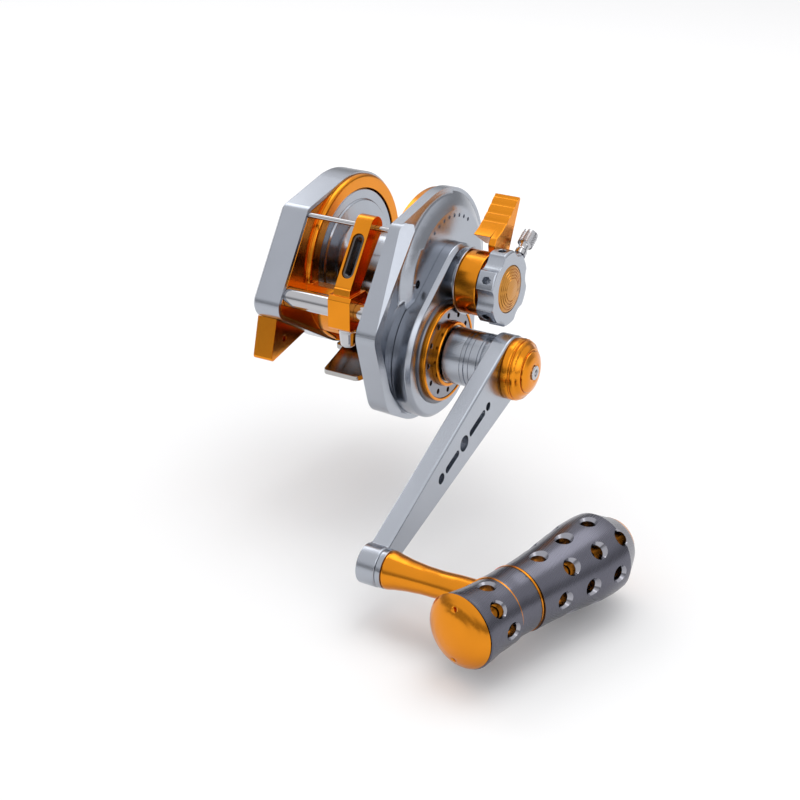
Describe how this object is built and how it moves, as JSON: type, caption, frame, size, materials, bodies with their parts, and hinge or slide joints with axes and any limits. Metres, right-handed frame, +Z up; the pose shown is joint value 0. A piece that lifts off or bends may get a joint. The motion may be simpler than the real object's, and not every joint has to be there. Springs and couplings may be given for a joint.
{
  "type": "fishing reel",
  "caption": "Small overhead lever-drag fishing reel with a level-wind line guide, polished silver and gold metal, long arm and drilled T-bar grip.",
  "frame": {"origin": "centre of the foot's flat underside, straight below the middle of the spool's axis", "axes": "+X along the spool's axis towards the handle side, +Y backwards from the line guide, +Z up from the rod"},
  "size_m": [0.1641, 0.1693, 0.1141],
  "materials": {
    "polished_silver": "polished",
    "gold_anodised": "bright anodised",
    "gunmetal": "dark anodised",
    "stainless": "polished",
    "dark_ceramic": "glossy ceramic",
    "brass_gear": "machined",
    "drag_fibre": "woven fibre"
  },
  "bodies": {
    "root": {"bearing_retainer": "gunmetal", "cam_follower": "stainless", "drilled_ring": "polished_silver", "foot_screws": "stainless", "frame": "gold_anodised", "gear_housing": "polished_silver", "gold_ring": "gold_anodised", "guide_rod": "stainless", "hub_ring": "polished_silver", "idler_pin": "stainless", "left_cover": "polished_silver", "left_shaft_bearing": "stainless", "main_bearing_inner": "stainless", "main_bearing_outer": "stainless", "one_way_clutch": "stainless", "pinion_bearing": "stainless", "preset_springs": "stainless", "reel_foot": "stainless", "right_side_plate": "polished_silver", "spool_shaft": "stainless", "stand_fin": "gold_anodised", "worm_tube": "stainless"},
    "handle": {"grip_post": "stainless", "grip_ring": "polished_silver", "handle_arm": "polished_silver", "handle_nut": "gold_anodised", "handle_screw": "stainless", "handle_sleeve": "polished_silver", "main_gear": "brass_gear", "main_shaft": "stainless"},
    "grip": {"grip_front_cap": "gold_anodised", "grip_front_shell": "gunmetal", "grip_liner": "gold_anodised", "grip_middle": "gunmetal", "grip_rear_cap": "gold_anodised", "grip_rear_shell": "gunmetal", "grip_ring_front": "gold_anodised", "grip_ring_rear": "gold_anodised", "grip_shank": "gold_anodised"},
    "pinion": {"drive_plate": "stainless", "pinion": "stainless"},
    "spool": {"drag_washer": "drag_fibre", "line_tie_pin": "stainless", "spool": "polished_silver", "spool_bearings": "stainless", "spool_gear": "brass_gear", "spool_gear_hub": "stainless"},
    "idler": {"idler_gear": "brass_gear"},
    "worm": {"worm_gear": "brass_gear", "worm_shaft": "stainless"},
    "line_guide": {"guide_ring": "dark_ceramic", "line_guide": "gold_anodised", "pawl": "stainless", "pawl_cap": "stainless"},
    "drag_lever": {"detent_plunger": "stainless", "drag_lever": "gold_anodised"},
    "preset": {"knob_cap": "gold_anodised", "preset_knob": "polished_silver", "preset_stick": "stainless"}
  },
  "joints": [
    {"name": "handle_spin", "type": "hinge", "parent": "root", "child": "handle", "pos_m": [0, -0.0139, 0.00878], "axis": [1, 0, 0], "continuous": true},
    {"name": "grip_spin", "type": "hinge", "parent": "handle", "child": "grip", "pos_m": [0, -0.10751, -0.03096], "axis": [1, 0, 0], "continuous": true},
    {"name": "pinion_spin", "type": "hinge", "parent": "root", "child": "pinion", "pos_m": [0, 0, 0.034], "axis": [1, 0, 0], "continuous": true},
    {"name": "spool_spin", "type": "hinge", "parent": "root", "child": "spool", "pos_m": [0, 0, 0.034], "axis": [1, 0, 0], "continuous": true},
    {"name": "idler_spin", "type": "hinge", "parent": "root", "child": "idler", "pos_m": [0, -0.02424, 0.03577], "axis": [1, 0, 0], "continuous": true},
    {"name": "worm_spin", "type": "hinge", "parent": "root", "child": "worm", "pos_m": [0, -0.0452, 0.032], "axis": [1, 0, 0], "continuous": true},
    {"name": "line_guide_slide", "type": "slide", "parent": "root", "child": "line_guide", "axis": [1, 0, 0], "range_m": [-0.0186, 0.002]},
    {"name": "drag_lever_turn", "type": "hinge", "parent": "root", "child": "drag_lever", "pos_m": [0, 0, 0.034], "axis": [1, 0, 0], "range_deg": [0, 94]},
    {"name": "preset_turn", "type": "hinge", "parent": "drag_lever", "child": "preset", "pos_m": [0, 0, 0.034], "axis": [1, 0, 0], "range_deg": [-100, 80]}
  ],
  "couplings": [
    {"joint": "pinion_spin", "follows": "handle_spin", "ratio": -4.1429},
    {"joint": "spool_spin", "follows": "handle_spin", "ratio": -4.1429},
    {"joint": "idler_spin", "follows": "handle_spin", "ratio": 1.362},
    {"joint": "worm_spin", "follows": "handle_spin", "ratio": -8.2857}
  ]
}
